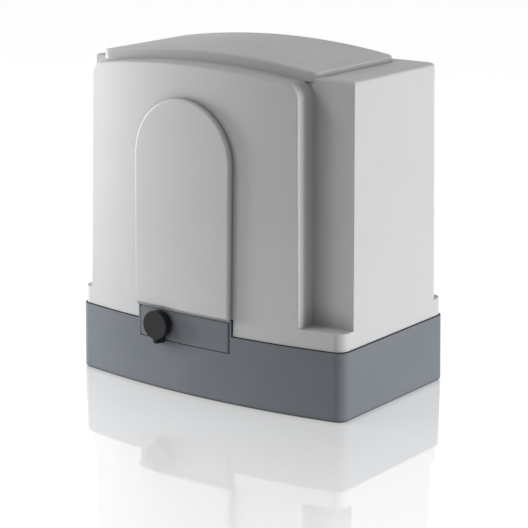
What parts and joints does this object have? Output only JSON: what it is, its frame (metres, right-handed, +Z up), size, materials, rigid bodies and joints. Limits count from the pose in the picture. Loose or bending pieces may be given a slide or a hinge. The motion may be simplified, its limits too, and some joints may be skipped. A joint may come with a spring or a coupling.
{
  "type": "sliding gate motor",
  "caption": "Sliding gate gearmotor with an arched moulded cover, keyed release door in a dark base, worm gearbox and a rack pinion at the back.",
  "frame": {"origin": "centre of the floor fixing slots, on the underside of the base", "axes": "+Z up, -Y towards the bulged front with the release door, +Y towards the pinion and the gate, +X to the right seen from the front"},
  "size_m": [0.32, 0.2527, 0.3315],
  "materials": {
    "base_plastic": "satin",
    "cover_plastic": "satin",
    "black_plastic": "satin",
    "white_plastic": "gloss",
    "terminal_plastic": "satin",
    "relay_plastic": "gloss",
    "board_green": "gloss",
    "coil_tape": "satin",
    "black_rubber": "matt",
    "zinc_steel": "zinc plated",
    "bright_steel": "ground",
    "gear_steel": "machined",
    "core_steel": "varnished",
    "lock_metal": "black plated",
    "cast_aluminium": "as cast",
    "wheel_bronze": "machined",
    "winding_copper": "enamelled"
  },
  "bodies": {
    "base": {"base_housing": "base_plastic", "cover_gasket": "black_rubber", "door_hinge_pin": "bright_steel", "gear_housing": "cast_aluminium", "gearcase_cover": "cast_aluminium", "gearcase_screws": "zinc_steel", "housing_bolts": "zinc_steel", "motor_bolts": "zinc_steel", "front_bearing": "bright_steel", "rear_bearing": "bright_steel", "shaft_seal": "black_rubber", "lower_worm_bearing": "bright_steel", "upper_worm_bearing": "bright_steel", "motor_bearing": "bright_steel", "motor_frame": "cast_aluminium", "stator_core": "core_steel", "stator_windings": "winding_copper", "motor_end_cap": "cast_aluminium", "transformer_core": "core_steel", "transformer_coil": "coil_tape", "run_capacitor": "white_plastic", "capacitor_clip": "zinc_steel", "capacitor_rest": "black_rubber", "board_carrier": "black_plastic", "control_board": "board_green", "board_screws": "zinc_steel", "terminal_blocks": "terminal_plastic", "board_relays": "relay_plastic", "fuse_holder": "black_plastic", "limit_switch_box": "black_plastic", "cable_gland": "black_rubber"},
    "cover": {"cover": "cover_plastic", "cover_screws": "zinc_steel"},
    "door": {"release_door": "base_plastic", "lock_barrel": "lock_metal", "lock_nut": "zinc_steel", "cap_hinge_pin": "bright_steel"},
    "lock": {"lock_plug": "bright_steel", "lock_cam": "zinc_steel"},
    "cap": {"lock_cap": "black_plastic"},
    "output": {"output_shaft": "bright_steel", "wheel_key": "bright_steel", "worm_wheel": "wheel_bronze", "drive_pinion": "gear_steel", "pinion_key": "bright_steel", "pinion_washer": "zinc_steel", "pinion_bolt": "zinc_steel"},
    "rotor": {"rotor_shaft": "gear_steel", "rotor_core": "core_steel"},
    "release": {"release_yoke": "zinc_steel", "release_rod": "bright_steel"},
    "limit_lever": {"limit_lever_hub": "white_plastic", "limit_spring": "bright_steel"}
  },
  "joints": [
    {"name": "cover_lift", "type": "slide", "parent": "base", "child": "cover", "axis": [0, 0, 1], "range_m": [0, 0.3]},
    {"name": "door_swing", "type": "hinge", "parent": "base", "child": "door", "pos_m": [0.0357, -0.102, 0.0655], "axis": [0, 0, 1], "range_deg": [0, 90]},
    {"name": "lock_turn", "type": "hinge", "parent": "door", "child": "lock", "pos_m": [-0.0435, -0.1, 0.0675], "axis": [0, 1, 0], "range_deg": [0, 90]},
    {"name": "cap_flip", "type": "hinge", "parent": "door", "child": "cap", "pos_m": [-0.0435, -0.1083, 0.0506], "axis": [1, 0, 0], "range_deg": [0, 95]},
    {"name": "output_spin", "type": "hinge", "parent": "base", "child": "output", "pos_m": [-0.018, 0, 0.092], "axis": [0, 1, 0], "continuous": true},
    {"name": "rotor_spin", "type": "hinge", "parent": "base", "child": "rotor", "pos_m": [0.042, -0.003, 0.15], "axis": [0, 0, 1], "continuous": true},
    {"name": "yoke_slide", "type": "slide", "parent": "base", "child": "release", "axis": [0, 1, 0], "range_m": [0, 0.005]},
    {"name": "limit_tilt", "type": "hinge", "parent": "base", "child": "limit_lever", "pos_m": [-0.018, 0.094, 0.146], "axis": [0, 1, 0], "range_deg": [-25, 25], "stiffness_Nm_per_rad": 0.05}
  ],
  "couplings": [
    {"joint": "rotor_spin", "follows": "output_spin", "ratio": 30},
    {"joint": "yoke_slide", "follows": "door_swing", "m_per_rad": 0.003183}
  ]
}
